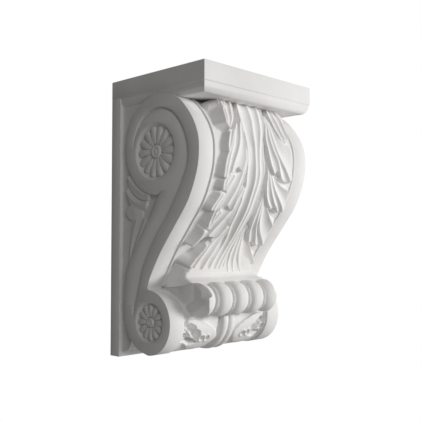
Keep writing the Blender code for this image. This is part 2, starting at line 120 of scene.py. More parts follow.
# The roll: its gadroons' middles and half widths, and between them the valleys with a bead in each
ROLL_MIDDLE = (-117.5, 73.4)
ROLL_RADIUS = 21.4
ROLL_END = 66.0
GADROONS = np.array([(0.0, 14.8), (29.6, 14.8), (67.4, 23.0)])
VALLEYS = np.array([14.8, 44.4])
VALLEY_HALF = 2.4
GADROON_DEPTH = 7.2
ROLL_BEAD = 4.4
ROLL_BEAD_HALF = 1.7
# Where the roll's left end curls in, by the turn above straight ahead, and how fast it falls away there
LIP_TURNS = (-180, -80, -48, -15, 11, 15, 19, 52, 75, 95, 180)
LIP = (63.5, 58, 57, 63.0, 63.4, 59, 55.5, 59.5, 63, 64.5, 64.5)
PLAIN_LIP = 63.5
FALL_TURNS = (-180, -48, -15, 11, 19, 60, 90, 180)
FALL = (1.2, 1.2, 2.5, 2.5, 1.15, 1.15, 2.5, 2.5)

# The neck between leaf, roll and bolster: its outline, and its rings as (across, share, highest)
NECK_LINE = [
    (-84.0, 118.0), (-94.0, 110.0), (-98.3, 105.0), (-99.4, 102.0), (-101.5, 99.8), (-105.0, 98.2),
    (-109.0, 96.6), (-113.5, 94.4), (-117.0, 90.0), (-118.0, 74.0), (-74.0, 50.0), (-66.0, 84.0),
    (-74.0, 98.0),
]
NECK_CORNER = np.array([-73.0, 88.0])
NECK_RINGS = (
    (-79, 0.04, 90), (-76, 0.2, 90), (-73.5, 0.5, 91), (-71.5, 0.8, 93), (-70, 0.96, 95),
    (-68.5, 1.0, 97.5), (-66, 1.0, 101.5), (-63, 1.0, 107), (-60, 1.0, 118),
)
NECK_FRONT = -118
NECK_ROUNDED = -65


def world(x, y, z):
    """World points from x in metres and y, z in units."""
    return np.stack(np.broadcast_arrays(x, y * UNIT, FOOT + z * UNIT), axis=-1)


def smooth_line(knots, steps):
    """A Catmull-Rom curve through the knots."""
    knots = np.array(knots, float)
    ends = np.vstack([2 * knots[0] - knots[1], knots, 2 * knots[-1] - knots[-2]])
    points = []
    for before, a, b, after in zip(ends, ends[1:], ends[2:], ends[3:]):
        for t in np.arange(steps) / steps:
            points.append(
                0.5 * (2 * a + (b - before) * t + (2 * before - 5 * a + 4 * b - after) * t**2
                       + (3 * a - before - 3 * b + after) * t**3)
            )
    points.append(knots[-1])
    return np.array(points)


def evenly(knots, count):
    """The knots' smooth curve as count points, by knot number."""
    line = smooth_line(knots, 12)
    places = np.linspace(0, len(line) - 1, count)
    return np.column_stack([np.interp(places, range(len(line)), column) for column in line.T])


def arc(middle, radius, start, end, steps):
    """Points on an arc of a circle, from one angle to another in degrees."""
    turns = np.radians(np.linspace(start, end, steps + 1))
    return np.column_stack([middle[0] + radius * np.cos(turns), middle[1] + radius * np.sin(turns)])


# What the carving lies on: each function gives world points from places and heights
FRONT = smooth_line(FRONT_LINE, 16)
FRONT_RUN = np.concatenate([[0], np.cumsum(np.hypot(*np.diff(FRONT, axis=0).T))])
FRONT_SLOPE = np.gradient(FRONT, axis=0)
FRONT_SLOPE /= np.hypot(*FRONT_SLOPE.T)[:, None]


def on_front(across, down, rise):
    y, z, slope_y, slope_z = (
        np.interp(down, FRONT_RUN, values) for values in (*FRONT.T, *FRONT_SLOPE.T)
    )
    return world(across * UNIT, y + slope_z * rise, z - slope_y * rise)


def on_bolster(across, turn, rise):
    reach = BOLSTER_RADIUS + rise
    y = BOLSTER_MIDDLE[0] - reach * np.cos(np.radians(turn))
    z = BOLSTER_MIDDLE[1] + reach * np.sin(np.radians(turn))
    return world(across * UNIT, y, z)


def on_field(side):
    def place(y, z, rise):
        return world(side * (FIELD + rise * UNIT), y, z)
    return place


# Working with objects
def select_only(piece):
    bpy.ops.object.select_all(action="DESELECT")
    piece.select_set(True)
    bpy.context.view_layer.objects.active = piece


def settle(piece, name):
    """Leaves the piece's object at the origin, with its place in its mesh."""
    select_only(piece)
    bpy.ops.object.transform_apply(location=True, rotation=True, scale=True)
    piece.name = name
    piece.data.name = name
    return piece


def shade(piece, angle):
    select_only(piece)
    bpy.ops.object.shade_smooth_by_angle(angle=math.radians(angle))
    return piece


def soften(piece, width, angle, segments=2):
    """Rounds a piece's arrises."""
    select_only(piece)
    bpy.ops.object.modifier_add(type="BEVEL")
    bevel = piece.modifiers[-1]
    bevel.width = width
    bevel.segments = segments
    bevel.limit_method = "ANGLE"
    bevel.angle_limit = math.radians(angle)
    bevel.harden_normals = False
    bpy.ops.object.modifier_apply(modifier=bevel.name)
    return piece


def tidy_mesh(piece):
    select_only(piece)
    bpy.ops.object.mode_set(mode="EDIT")
    bpy.ops.mesh.select_all(action="SELECT")
    bpy.ops.mesh.remove_doubles(threshold=1e-6)
    bpy.ops.mesh.normals_make_consistent(inside=False)
    bpy.ops.object.mode_set(mode="OBJECT")
    return piece


def carve_out(piece, cutter):
    select_only(piece)
    bpy.ops.object.modifier_add(type="BOOLEAN")
    cut = piece.modifiers[-1]
    cut.operation = "DIFFERENCE"
    cut.solver = "EXACT"
    cut.object = cutter
    bpy.ops.object.modifier_apply(modifier=cut.name)
    bpy.data.objects.remove(cutter)
    return piece


def mesh_piece(name, points, faces):
    mesh = bpy.data.meshes.new(name)
    mesh.from_pydata([tuple(p) for p in points], [], faces)
    piece = bpy.data.objects.new(name, mesh)
    bpy.context.scene.collection.objects.link(piece)
    return tidy_mesh(piece)


def lofted(name, rings):
    """A closed body through rings of as many points each."""
    count = len(rings[0])
    points = [p for ring in rings for p in ring]
    faces = [tuple(range(count)), tuple(range(len(points) - 1, len(points) - count - 1, -1))]
    for r in range(len(rings) - 1):
        for i in range(count):
            j = (i + 1) % count
            faces.append((r * count + i, r * count + j, (r + 1) * count + j, (r + 1) * count + i))
    return mesh_piece(name, points, faces)


def plate(name, outline, x0, x1):
    """A flat plate with this side view, in units, from x0 to x1, drawn as a filled curve."""
    curve = bpy.data.curves.new(name, "CURVE")
    curve.dimensions = "2D"
    curve.fill_mode = "BOTH"
    curve.extrude = abs(x1 - x0) / 2
    spline = curve.splines.new("POLY")
    spline.points.add(len(outline) - 1)
    for point, (y, z) in zip(spline.points, outline):
        point.co = (y * UNIT, FOOT + z * UNIT, 0, 1)
    spline.use_cyclic_u = True
    piece = bpy.data.objects.new(name, curve)
    bpy.context.scene.collection.objects.link(piece)
    select_only(piece)
    bpy.ops.object.convert(target="MESH")
    piece = bpy.context.object
    for vert in piece.data.vertices:
        y, z, x = vert.co
        vert.co = (x + (x0 + x1) / 2, y, z)
    tidy_mesh(piece)
    return settle(piece, name)


# Carving is heights over a grid. A layer is this low where nothing is laid
NOTHING = -99.0
# A flute's tip takes up the end of its length, from this share on
TIP_START = 0.72


def softened(grid):
    """The grid's heights with each one evened out among its neighbours."""
    wide = np.pad(grid, 1, mode="edge")
    return (
        4 * wide[1:-1, 1:-1] + 2 * (wide[:-2, 1:-1] + wide[2:, 1:-1] + wide[1:-1, :-2] + wide[1:-1, 2:])
        + wide[:-2, :-2] + wide[:-2, 2:] + wide[2:, :-2] + wide[2:, 2:]
    ) / 16


class Relief:
    """Carved heights over a patch: the first place runs across, the second runs down."""

    def __init__(self, across, down, step, ground=0.0):
        self.across = np.arange(across[0], across[1] + step / 2, step)
        self.down = np.arange(down[0], down[1] + step / 2, step)
        self.step = step
        self.height = np.full((len(self.down), len(self.across)), float(ground))

    def spread(self, layer, slope, reach, ends=None):
        """Lets a layer's edges fall away at this slope, or at another one above and below."""
        ends = slope if ends is None else ends
        for _ in range(int(reach / self.step)):
            wide = np.pad(layer, 1, constant_values=NOTHING)
            for i in range(3):
                for j in range(3):
                    fall = self.step * np.hypot((i - 1) * ends, (j - 1) * slope)
                    moved = wide[i:i + layer.shape[0], j:j + layer.shape[1]] - fall
                    layer = np.maximum(layer, moved)
        return layer

    def lay(self, places, heights, slope=1.3, reach=16.0, ends=None):
        """Adds a sheet, given as many points on its top, where it stands above what is there."""
        layer = np.full(self.height.shape, NOTHING)
        i = np.rint((places[:, 1] - self.down[0]) / self.step).astype(int)
        j = np.rint((places[:, 0] - self.across[0]) / self.step).astype(int)
        inside = (i >= 0) & (j >= 0) & (i < layer.shape[0]) & (j < layer.shape[1])
        np.maximum.at(layer, (i[inside], j[inside]), heights[inside])
        top = layer > NOTHING
        layer = self.spread(layer, slope, reach, ends)
        for _ in range(4):
            layer = np.where(top, layer, softened(layer))
        self.height = np.maximum(self.height, layer)

    def drill(self, corners, floor, steep=3.0):
        """A small hole with these corners at its rim's foot, down to the floor height."""
        across, down = np.meshgrid(self.across, self.down)
        corners = np.array(corners, float)
        inside = corners.mean(axis=0)
        out = np.full(across.shape, -np.inf)
        for a, b in zip(corners, np.roll(corners, -1, axis=0)):
            normal = np.array([b[1] - a[1], a[0] - b[0]])
            normal /= np.hypot(*normal) * np.sign(normal @ (a - inside))
            out = np.maximum(out, (across - a[0]) * normal[0] + (down - a[1]) * normal[1])
        rim = np.where(out > 0, floor + out * steep * 2, floor)
        self.height = np.where(out < 3.0, np.minimum(self.height, rim), self.height)

    def score(self, line, depth, wide):
        """A V-shaped crease along a line, no deeper than the ground."""
        across, down = np.meshgrid(self.across, self.down)
        away = np.full(across.shape, np.inf)
        for a, b in zip(np.array(line, float), np.array(line[1:], float)):
            along = b - a
            x, y = across - a[0], down - a[1]
            share = np.clip((x * along[0] + y * along[1]) / (along @ along), 0, 1)
            away = np.minimum(away, np.hypot(x - share * along[0], y - share * along[1]))
        cut = self.height - depth * np.clip(1 - away / wide, 0, 1)
        self.height = np.maximum(cut, np.minimum(self.height, 0.0))

    def soothe(self, times=1):
        for _ in range(times):
            self.height = softened(self.height)

    def piece(self, name, place, buried):
        """The patch as a closed body, its sides and back sunk below the ground."""
        rows, cols = self.height.shape
        across, down = np.meshgrid(self.across, self.down)
        top = place(across, down, self.height).reshape(-1, 3)
        ends = np.array([self.across[0], self.across[-1]])
        under_across, under_down = np.meshgrid(ends, self.down)
        under = place(under_across, under_down, np.full(under_across.shape, -float(buried))).reshape(-1, 3)
        points = np.vstack([top, under])
        n = rows * cols
        grid = np.arange(n).reshape(rows, cols)
        quads = np.stack([grid[:-1, :-1], grid[:-1, 1:], grid[1:, 1:], grid[1:, :-1]], axis=-1)
        faces = quads.reshape(-1, 4).tolist()
        for r in range(rows - 1):
            left, right = n + 2 * r, n + 2 * r + 1
            faces.append([left, right, right + 2, left + 2])
            faces.append([left, int(grid[r, 0]), int(grid[r + 1, 0]), left + 2])
            faces.append([right, right + 2, int(grid[r + 1, -1]), int(grid[r, -1])])
        faces.append([n, *grid[0].tolist(), n + 1])
        faces.append([n + 2 * rows - 2, *grid[-1].tolist(), n + 2 * rows - 1])
        return mesh_piece(name, points, faces)


def fluted(ridges, tips, hollow=0.21, along=0.33, across=0.32):
    """Points on a sheet of hollow flutes between ridge lines, each flute ending in a rounded tip."""
    longest = max(np.hypot(*np.diff(evenly(ridge, 60)[:, :2], axis=0).T).sum() for ridge in ridges)
    count = int(longest / along)
    lines = [evenly(ridge, count) for ridge in ridges]
    t = np.linspace(0, 1, count)
    in_tip = np.clip((t - TIP_START) / (1 - TIP_START), 0, 1) ** 1.7
    sheet = []
    for one, two, tip in zip(lines, lines[1:], tips):
        gap = np.hypot(*(one - two)[:, :2].T)
        end = one[-1, :2] + two[-1, :2] - one[-1 - count // 12, :2] - two[-1 - count // 12, :2]
        end /= max(np.hypot(*end), 1e-6)
        depth = np.clip(hollow * gap, 0.2, 3.0)
        for u in np.linspace(0, 1, int(gap.max() / across) + 4):
            spot = one + (two - one) * u
            push = tip * max(0.0, 1 - (2 * u - 1) ** 2) ** 0.5 * in_tip
            spot[:, :2] += push[:, None] * end
            spot[:, 2] -= 4 * u * (1 - u) * depth
            sheet.append(spot)
    sheet = np.concatenate(sheet)
    return sheet[:, :2], sheet[:, 2]


# The acanthus leaf's lines are traced along the photo's line of sight. Each point is read where that line
# meets a level above the front, or in low() the front itself, and lies further right the lower it is
LEVEL = 9.0
LEAN = 1.03


def low(line):
    """A line read on the front itself, as it would be read on the level."""
    return [(across - LEAN * LEVEL, down, rise) for across, down, rise in line]


# Each sheet: its ridge lines, as (across, down the front, height), and how far each flute's tip reaches out
SHEETS = {
    "stem": ([
        [(-14, 46, 16.5), (-21, 57, 15), (-24.5, 66, 12), (-26.5, 76, 8), (-26.5, 85, 4.5),
         (-26, 95, 2), (-25.5, 103, 1.2), (-25, 112, 1.2), (-24.5, 122, 2), (-24, 135, 3.5),
         (-21.5, 146, 4.5), (-21, 165, 5), (-20, 178, 5.5), (-18.5, 190, 6), (-17, 200, 6.5),
         (-14, 212, 7), (-12, 222, 8.5), (-12, 232, 10.5), (-13, 246, 14), (-15, 262, 17.5)],
        [(4, 47, 16.5), (-1, 60, 14), (-4.5, 70, 11), (-8.5, 80, 7), (-10.5, 90, 4), (-11.3, 100, 2.8),
         (-11.3, 110, 2.6), (-10, 120, 3.2), (-8.5, 130, 4.6), (-7, 140, 5.6), (-6.5, 150, 6.2),
         (-6.3, 160, 6.6), (-4.2, 180, 7.8), (-2.5, 200, 9), (-1.5, 215, 9.8), (-2, 232, 11.5),
         (-3, 246, 14), (-4, 262, 17.5)],
        [(22, 47, 16.5), (15.5, 60, 14), (10.5, 70, 11), (6, 80, 7), (1, 90, 4), (-2.5, 100, 2.8),
         (-3.3, 110, 2.6), (-2.5, 120, 3.2), (-0.5, 130, 4.6), (0.5, 140, 5.6), (0.5, 150, 6.2),
         (0.5, 160, 6.6), (2, 180, 7.8), (3, 200, 9), (3.5, 215, 9.8), (3.5, 232, 11.5), (3.5, 246, 14),
         (3.5, 262, 17.5)],
        [(31, 49, 15.5), (25, 60, 13.5), (21, 70, 10), (14.5, 80, 6.5), (9.5, 88, 3.5), (6, 95, 1.8),
         (4.5, 103, 1.2), (5, 112, 1.2), (7, 120, 1.8), (8, 127, 2.6), (9, 140, 3.8), (9.5, 150, 4.3),
         (10, 160, 4.8), (11, 178, 5.5), (10, 195, 6.2), (9, 210, 7), (8, 225, 8.5), (7.5, 235, 10.5),
         (8, 247, 14), (10, 259, 17)],
    ], (0, 0, 0)),
    "left_1": ([
        [(-22, 41, 16.2), (-27, 52, 15), (-31, 60, 13.5), (-36, 68, 12), (-44, 77, 10.8), (-51, 84, 10)],
        [(-25, 41, 16.2), (-31, 52, 14.8), (-37, 63, 13.2), (-43, 73, 11.8), (-50, 82, 10.8)],
        low([(-28, 44, 15.8), (-32, 52, 14.8), (-36, 60, 13.6), (-39, 68, 12.6), (-41, 73, 12),
             (-44, 79, 11.2)]),
        low([(-31, 46, 15.4), (-37, 54, 14.2), (-41, 62, 13), (-43.5, 69, 12), (-45, 75, 11.4),
             (-47, 79, 10.8)]),
    ], (3, 3, 1)),
    "left_1t": ([
        [(-32, 36, 16.4), (-36, 45, 15.8), (-39, 54, 15)],
        [(-38, 34, 16.6), (-43, 42, 16), (-46, 50, 15.4), (-47, 57, 14.8)],
        low([(-30, 30, 16.6), (-35, 38, 16.2), (-38.5, 44, 15.6), (-41, 49, 14.8)]),
    ], (4, 2)),
    "left_2": ([
        [(-23, 70, 9.5), (-26.5, 80, 7), (-28, 90, 5.5), (-28.5, 100, 5.2), (-28.5, 108, 5.5),
         (-29, 116, 6.2), (-30, 123, 7), (-32, 128, 7.4)],
        [(-24, 68, 10), (-30, 76, 8.5), (-35, 86, 7.5), (-38.5, 95, 7.2), (-42, 104, 7.4),
         (-46, 113, 7.8), (-50, 122, 8.2), (-52, 130, 8.6)],
        low([(-28, 76, 8.6), (-35, 86, 8), (-40, 96, 7.8), (-44, 106, 8), (-48, 116, 8.2),
             (-50, 126, 8.6), (-50, 136, 8.8)]),
        low([(-36, 84, 8), (-42, 92, 7.6), (-46, 100, 7.4), (-49, 108, 7.4), (-53, 116, 7.8),
             (-55, 126, 8.4), (-54.5, 137, 8.8)]),
    ], (4, 6, 2)),
    "left_2t": ([
        low([(-35, 84, 7.6), (-40, 92, 7.8), (-44, 100, 8.2), (-47, 107, 8.3)]),
        low([(-41, 83, 7), (-46, 90, 7.4), (-49.5, 98, 8), (-51, 104, 8.2), (-50, 109.5, 8.3)]),
    ], (2,)),
    "left_3": ([
        [(-25.5, 112, 3), (-26.5, 125, 4.2), (-27.5, 138, 5.4), (-28.5, 148, 6.4), (-29.5, 158, 7.4),
         (-29.5, 168, 8.2), (-28.5, 176, 8.8)],
        [(-26, 110, 3), (-30, 124, 4.2), (-33, 138, 5.2), (-36, 150, 6.6), (-40, 161, 7.6),
         (-43, 170, 8.4)],
        low([(-20, 108, 3), (-29, 124, 4.2), (-36, 138, 5.6), (-42, 150, 7), (-48, 162, 8),
             (-51.5, 172, 8.6), (-52, 177, 9)]),
        low([(-24, 106, 3), (-37, 124, 4.4), (-43, 136, 5.6), (-47, 146, 6.6), (-51, 157, 7.6),
             (-54, 166, 8.4), (-57, 173, 8.8), (-57, 178, 9)]),
    ], (4, 5, 2)),
    "left_3t": ([
        low([(-40, 128, 5.4), (-44, 136, 6.6), (-46, 144, 7.8), (-46, 151, 8.6)]),
        low([(-46, 130, 5.6), (-50, 138, 6.8), (-52, 144, 7.8), (-50.5, 152, 8.8)]),
    ], (1.5,)),
    "left_4": ([
        [(-22, 150, 4.6), (-22.5, 165, 6), (-23, 178, 7.4), (-23.5, 190, 8.4), (-24, 200, 9.2),
         (-24.5, 208, 9.6), (-26, 215, 9.8)],
        [(-24, 148, 4.6), (-27.5, 163, 6.4), (-30.5, 175, 7.8), (-34.5, 185, 8.8), (-39, 194, 9.4),
         (-43, 204, 10), (-46, 213, 10.2)],
        low([(-21, 150, 5), (-30, 165, 6.6), (-36, 178, 8), (-41, 190, 9), (-45, 202, 9.6),
             (-47, 213, 10.2), (-49, 222, 10.6), (-52, 229, 10.8)]),
        low([(-25, 150, 5), (-36, 164, 6.6), (-42, 176, 7.8), (-46, 188, 8.6), (-46.5, 198, 9.2),
             (-49, 208, 9.6), (-48.5, 216, 10.2), (-51, 224, 10.6), (-54.5, 230.5, 10.8)]),
    ], (5, 5, 2)),
    "left_4t": ([
        low([(-42, 166, 6.6), (-45, 176, 7.8), (-44, 188, 9), (-42, 199, 10)]),
        low([(-47, 170, 6.4), (-49.5, 180, 7.6), (-49, 190, 8.8), (-47.5, 198, 9.6), (-43, 206.5, 10.4)]),
    ], (1.5,)),
    "left_5": ([
        [(-12, 206, 6.5), (-12, 218, 7.5), (-11.5, 228, 9.5), (-12, 238, 12), (-13.5, 248, 15),
         (-14.5, 258, 17.4)],
        [(-15, 206, 6.5), (-18.5, 218, 8), (-21, 227, 10), (-22.5, 237, 12.5), (-25, 247, 15.5),
         (-27.5, 260, 18)],
        low([(-9, 204, 6.5), (-18, 216, 8.4), (-24, 227, 10.4), (-27, 237, 12.6), (-30, 247, 14.8),
             (-33, 257, 17)]),
        low([(-11, 202, 6.5), (-24, 216, 8.6), (-29, 226, 10.4), (-31, 234, 12), (-34.5, 242, 13.6),
             (-38.5, 250, 15.2), (-41, 257, 16.4), (-41.5, 260, 16.8)]),
    ], (5, 6, 2)),
    "right_1": ([
        [(45, 43, 16), (41, 51, 15.4), (37.5, 60, 14), (36.5, 68, 13), (37.2, 76, 12), (40.5, 83, 11)],
        [(52, 43, 16), (50, 52, 15), (48.5, 62, 13.8), (48, 70, 12.6), (49, 80, 11.2), (51, 85, 10.6)],
        [(60, 43, 15.8), (62, 52, 14.8), (62, 60, 13.6), (60, 68, 12.6), (58.5, 76, 11.6),
         (57.5, 84, 10.6)],
    ], (5, 4)),
    "right_1t": ([
        [(56, 42, 16), (58, 48, 15.4), (60, 55, 14.6)],
        [(62, 42, 15.8), (65, 48, 15), (67, 56, 14)],
    ], (4,)),
    "right_2": ([
        [(27, 58, 13.5), (22, 70, 10.5), (15.5, 80, 7.5), (12.2, 90, 5.6), (13.2, 100, 5.2),
         (15.5, 109, 5.6), (19.5, 118, 6.4), (24, 124, 7.2), (28, 128.5, 7.6)],
        [(29, 60, 13), (25, 72, 10.5), (21.5, 83, 8.2), (21.5, 93, 7), (25.5, 103, 6.8), (31, 110, 7.2),
         (35, 117, 7.6), (38, 125, 8), (41, 131, 8)],
        [(30, 62, 12.5), (28, 74, 10.5), (27, 84, 8.8), (28.5, 94, 7.6), (33, 104, 7.6), (41, 114, 8),
         (49, 122, 8.4), (56, 129, 8.6), (62, 134, 8.6)],
        [(32, 66, 11.6), (34, 78, 10), (37, 86, 9.2), (43, 90, 8.8), (50, 92, 8.6), (57, 95, 8.6)],
    ], (4, 7, 6)),
    "right_3": ([
        [(8, 108, 1.5), (11, 118, 3), (14.5, 130, 4.8), (16.5, 141, 6.2), (20, 150, 7.2),
         (25, 158.5, 8), (31, 165, 8.6), (38, 170, 8.8)],
        [(8, 108, 1.5), (13, 119, 3.2), (19, 131, 5), (25, 142, 6.6), (32, 152, 7.8), (41, 162, 8.6),
         (48, 168, 9), (54, 173, 9.2)],
        [(9, 108, 1.5), (15, 119, 3.2), (23, 131, 5), (33, 144, 7), (44, 154, 8.4), (54, 162, 9.2),
         (62, 169, 9.6), (67, 175, 9.6)],
        [(10, 110, 1.5), (20, 124, 3.2), (30, 133, 4.6), (41, 140, 6), (52, 144.5, 7.4),
         (62, 146.5, 8.8)],
    ], (5, 6, 6)),
    "right_4": ([
        [(14, 148, 4), (15.5, 160, 5.6), (16, 172, 7), (17.5, 184, 8.2), (20, 193, 8.8),
         (23.5, 203, 9.4), (27.5, 212, 9.8), (32, 219, 10)],
        [(15, 148, 4), (19, 162, 6), (22, 174, 7.6), (26, 186, 8.8), (31, 197, 9.6), (37, 207, 10),
         (43, 216, 10.2), (48, 224, 10.4)],
        [(16, 150, 4), (21, 164, 6.2), (26, 177, 7.8), (32, 190, 9), (40, 201, 9.8), (50, 212, 10.2),
         (59, 220, 10.4), (66, 227, 10.4)],
        [(19, 154, 4), (29, 168, 6.4), (38, 176, 7.8), (47, 183, 9), (55, 189, 9.6), (63, 195, 9.8)],
    ], (6, 10, 6)),
    "right_5": ([
        [(9, 208, 6.5), (9.5, 220, 7.6), (10, 230, 9.5), (11.5, 242, 12.4), (14.5, 254, 15.4),
         (19.5, 263, 17.4), (26, 270, 18.6)],
        [(11, 206, 6.5), (14, 218, 7.8), (17, 229, 9.6), (20, 241, 12.2), (23.5, 252, 14.8),
         (28.5, 262, 17), (35, 270, 18.6)],
        [(12, 204, 6.5), (17, 216, 7.8), (22, 228, 9.8), (27.5, 241, 12.4), (33.5, 252, 14.8),
         (41, 262, 17), (50, 271, 18.6)],
        [(15, 200, 6.5), (24, 212, 8.2), (32, 221, 9.8), (41, 229, 11.2), (50, 237, 12.6),
         (59, 246, 14), (66, 254, 15.4)],
    ], (5, 8, 7)),
}
# Where a lobe springs from the stem it dips: from one place down the front to another, and by how much
NO_DIP = (0, 1, 0)
DIPS = {
    "left_3": (108, 150, 1.3), "left_4": (148, 190, 1.4), "left_5": (202, 236, 1.5),
    "right_3": (108, 150, 1.5), "right_4": (148, 190, 1.6), "right_5": (200, 236, 1.7),
}
# Holes between the lobes, with the height of their floors
EYES = [
    ([(-38.0, 126.5), (-31.0, 135.5), (-47.0, 134.5)], 1.5),
    ([(35.0, 126.0), (41.0, 132.0), (30.5, 132.5)], 2.0),
    ([(-41.0, 172.0), (-33.5, 178.5), (-41.0, 181.5), (-47.0, 177.5)], 2.5),
    ([(49.5, 169.5), (55.0, 175.0), (44.5, 175.5)], 3.0),
    ([(-37.0, 223.5), (-35.0, 226.0), (-40.0, 229.0), (-45.0, 228.5)], 5.0),
    ([(-31.0, 264.5), (-27.5, 273.5), (-31.5, 272.5)], 16.0),
    ([(29.5, 272.0), (35.5, 280.5), (30.5, 277.0)], 16.5),
]
# Creases at the leaf's margins, with their depths
CREASES = [
    ([(-50, 157), (-58, 155.5), (-72, 155)], 3.75), ([(-50, 209), (-58, 206), (-66, 203)], 1.875),
    ([(-46, 267), (-56, 262), (-72, 259)], 2.5), ([(58, 92.5), (68, 92)], 2.5),
    ([(62, 177), (74, 177)], 3.75), ([(54, 234), (72, 230)], 3.125), ([(56, 260), (74, 257)], 2.5),
]
CREASE_HALF = 1.9
# How steeply the lobes fall at the margins, down the front, and within them
MARGIN_DOWN = (50, 75, 105, 128, 150, 175, 205, 245, 265, 290)
MARGIN_SLOPE = (0.75, 0.8, 1.1, 1.0, 1.1, 0.85, 1.0, 1.1, 1.3, 1.5)
INNER_SLOPE = 5.5
# The leaf's root: how far it reaches across and down, its lower edge's bow, its height and where it falls
ROOT_ACROSS = (-52, 56)
ROOT_DOWN = (24, 42)
ROOT_BOW = 5
ROOT_HIGH = 14.8
ROOT_FALL = 36
# The leaf's foot, as (down the front, half width) and as (down the front, height)
FOOT_HALF = np.array([(226, 40), (246, 50), (256, 54.5), (261, 54.5), (268, 59.5), (280, 63.5), (293, 65)])
FOOT_HIGH = np.array([
    (226, -1), (236, 7), (246, 11.2), (256, 14.2), (264, 16.4), (272, 18.2), (280, 19.9), (293, 22.3),
])


def traced(line, dip):
    """A ridge line in its true place, with its dip."""
    top, bottom, much = dip
    points = []
    for across, down, rise in line:
        rise = rise - much * math.sin(math.pi * min(1, max(0, (down - top) / (bottom - top))))
        points.append((across + LEAN * (LEVEL - rise), down, rise))
    return points


def make_leaf():
    """The acanthus leaf: sheets of flutes laid over each other, with its root and its smooth foot."""
    leaf = Relief(across=(-78.3, 78.3), down=(FRONT_START, 295), step=0.7)
    across, down = np.meshgrid(np.abs(leaf.across), leaf.down)
    margin = np.interp(down, MARGIN_DOWN, MARGIN_SLOPE)
    steep = margin + (INNER_SLOPE - margin) * np.clip((58 - across) / 10, 0, 1)
    for name, (ridges, tips) in SHEETS.items():
        ridges = [traced(line, DIPS.get(name, NO_DIP)) for line in ridges]
        leaf.lay(*fluted(ridges, tips), slope=steep, reach=15, ends=4.0)
    # The root is tucked up under the cap
    top, bottom = ROOT_DOWN
    root = np.array([
        (x, y) for x in np.arange(*ROOT_ACROSS, 0.5)
        for y in np.arange(top, bottom + ROOT_BOW * math.cos(x / 34), 0.5)
    ])
    leaf.lay(root, ROOT_HIGH - 0.16 * np.maximum(root[:, 1] - ROOT_FALL, 0), slope=3.0, reach=6)
    for corners, floor in EYES:
        leaf.drill(corners, floor)
    for line, depth in CREASES:
        leaf.score(line, depth, CREASE_HALF)
    # The foot thickens until it curls over into the roll
    run = np.linspace(226, 292, 240)
    half = np.interp(run, *FOOT_HALF.T)
    high = np.interp(run, *FOOT_HIGH.T)
    share = np.linspace(-1, 1, 480)
    places = np.column_stack([np.outer(half, share).ravel(), np.repeat(run, len(share))])
    heights = high[:, None] - 0.6 * share**4
    leaf.lay(places, heights.ravel(), slope=1.9, reach=13)
    leaf.soothe(1)
    return shade(leaf.piece("leaf", on_front, 7.0), 70)


def make_roll():
    """The gadrooned roll at the leaf's foot: a bead lies in each valley, and the ends curl in."""
    across = np.concatenate([[-ROLL_END], np.linspace(-ROLL_END, ROLL_END, 300), [ROLL_END]])
    away = np.abs(across)
    crest, half = GADROONS[np.digitize(away, VALLEYS)].T
    share = np.clip(np.abs(away - crest) / (half - VALLEY_HALF), 0, 1)
    swell = GADROON_DEPTH * (1 - share**2.8) ** 0.62
    near = np.min(np.abs(away[:, None] - VALLEYS), axis=1)
    bead = ROLL_BEAD * np.sqrt(np.clip(1 - (near / ROLL_BEAD_HALF) ** 2, 0, 1))
    reach = ROLL_RADIUS - GADROON_DEPTH + np.maximum(swell, bead)
    turns = np.arange(0, 360, 2.5)
    above = (180 - turns + 180) % 360 - 180
    left_lip = np.interp(above, LIP_TURNS, LIP)
    right_lip = PLAIN_LIP + 0.3 * (left_lip - PLAIN_LIP)
    fall = np.interp(above, FALL_TURNS, FALL)
    rings = []
    for x, radius in zip(across, reach):
        past = np.maximum(abs(x) - (left_lip if x < 0 else right_lip), 0)
        rings.append(radius - fall * past * past / (past + 0.8))
    # Each end is closed inside a flat rim
    rings[0] *= 0.9
    rings[-1] *= 0.9
    side_view = np.cos(np.radians(turns)), np.sin(np.radians(turns))
    rings = [
        world(x * UNIT, *(place + radius * part for place, part in zip(ROLL_MIDDLE, side_view)))
        for x, radius in zip(across, rings)
    ]
    return shade(lofted("roll", rings), 50)


def make_neck():
    """Fills between the leaf's foot, the roll and the bolster, hollowed above the roll."""
    rings = []
    for across, share, highest in NECK_RINGS:
        front = NECK_FRONT + 2.5 * max(0, NECK_ROUNDED - across)
        line = [(max(y, front) if z < 92 else y, min(z, highest)) for y, z in NECK_LINE]
        rings.append([(across, *(NECK_CORNER + (np.array(p) - NECK_CORNER) * share)) for p in line])
    rings += [[(-x, y, z) for x, y, z in ring] for ring in reversed(rings)]
    return shade(lofted("neck", [[world(x * UNIT, y, z) for x, y, z in ring] for ring in rings]), 60)


# The bolster's husks, drawn for the right one as (across, turn): their edges, rim, groove, cuts and eyes
HUSK_UPPER = [(15.5, -30), (19, -22), (24, -15), (32, -8), (41, -2), (51, 3), (60, 6), (71, 7)]
HUSK_LOWER = [(15.5, -36), (19, -46), (25, -58), (33, -68), (44, -72), (54, -67), (61, -56), (66, -44)]
HUSK_RIM = [(17, -27), (24, -16.5), (32, -9.5), (41, -3.5), (51, 1.5), (62, 4)]
HUSK_GROOVE = [(20, -28), (27, -19), (35, -12.5), (43, -7), (52, -2.5), (60, -1)]
HUSK_CUTS = [
    [(66, -4), (60, -8), (58, -15), (62, -20), (68, -12)],
    [(58, -14), (51, -19), (50, -28), (53, -33), (60, -22)],
    [(66, -31), (58, -34), (52, -42), (60, -46), (71, -42)],
    [(74, 0), (68, -9), (71, -16), (76, -10)], [(74, -22), (68, -25), (70, -30), (76, -28)],
]
HUSK_EYES = ((33.5, -33), (43, -32))
# How far the husk swells, and how long a degree of turn is on its face
HUSK_SWELL = 2.4
DEGREE = 0.64
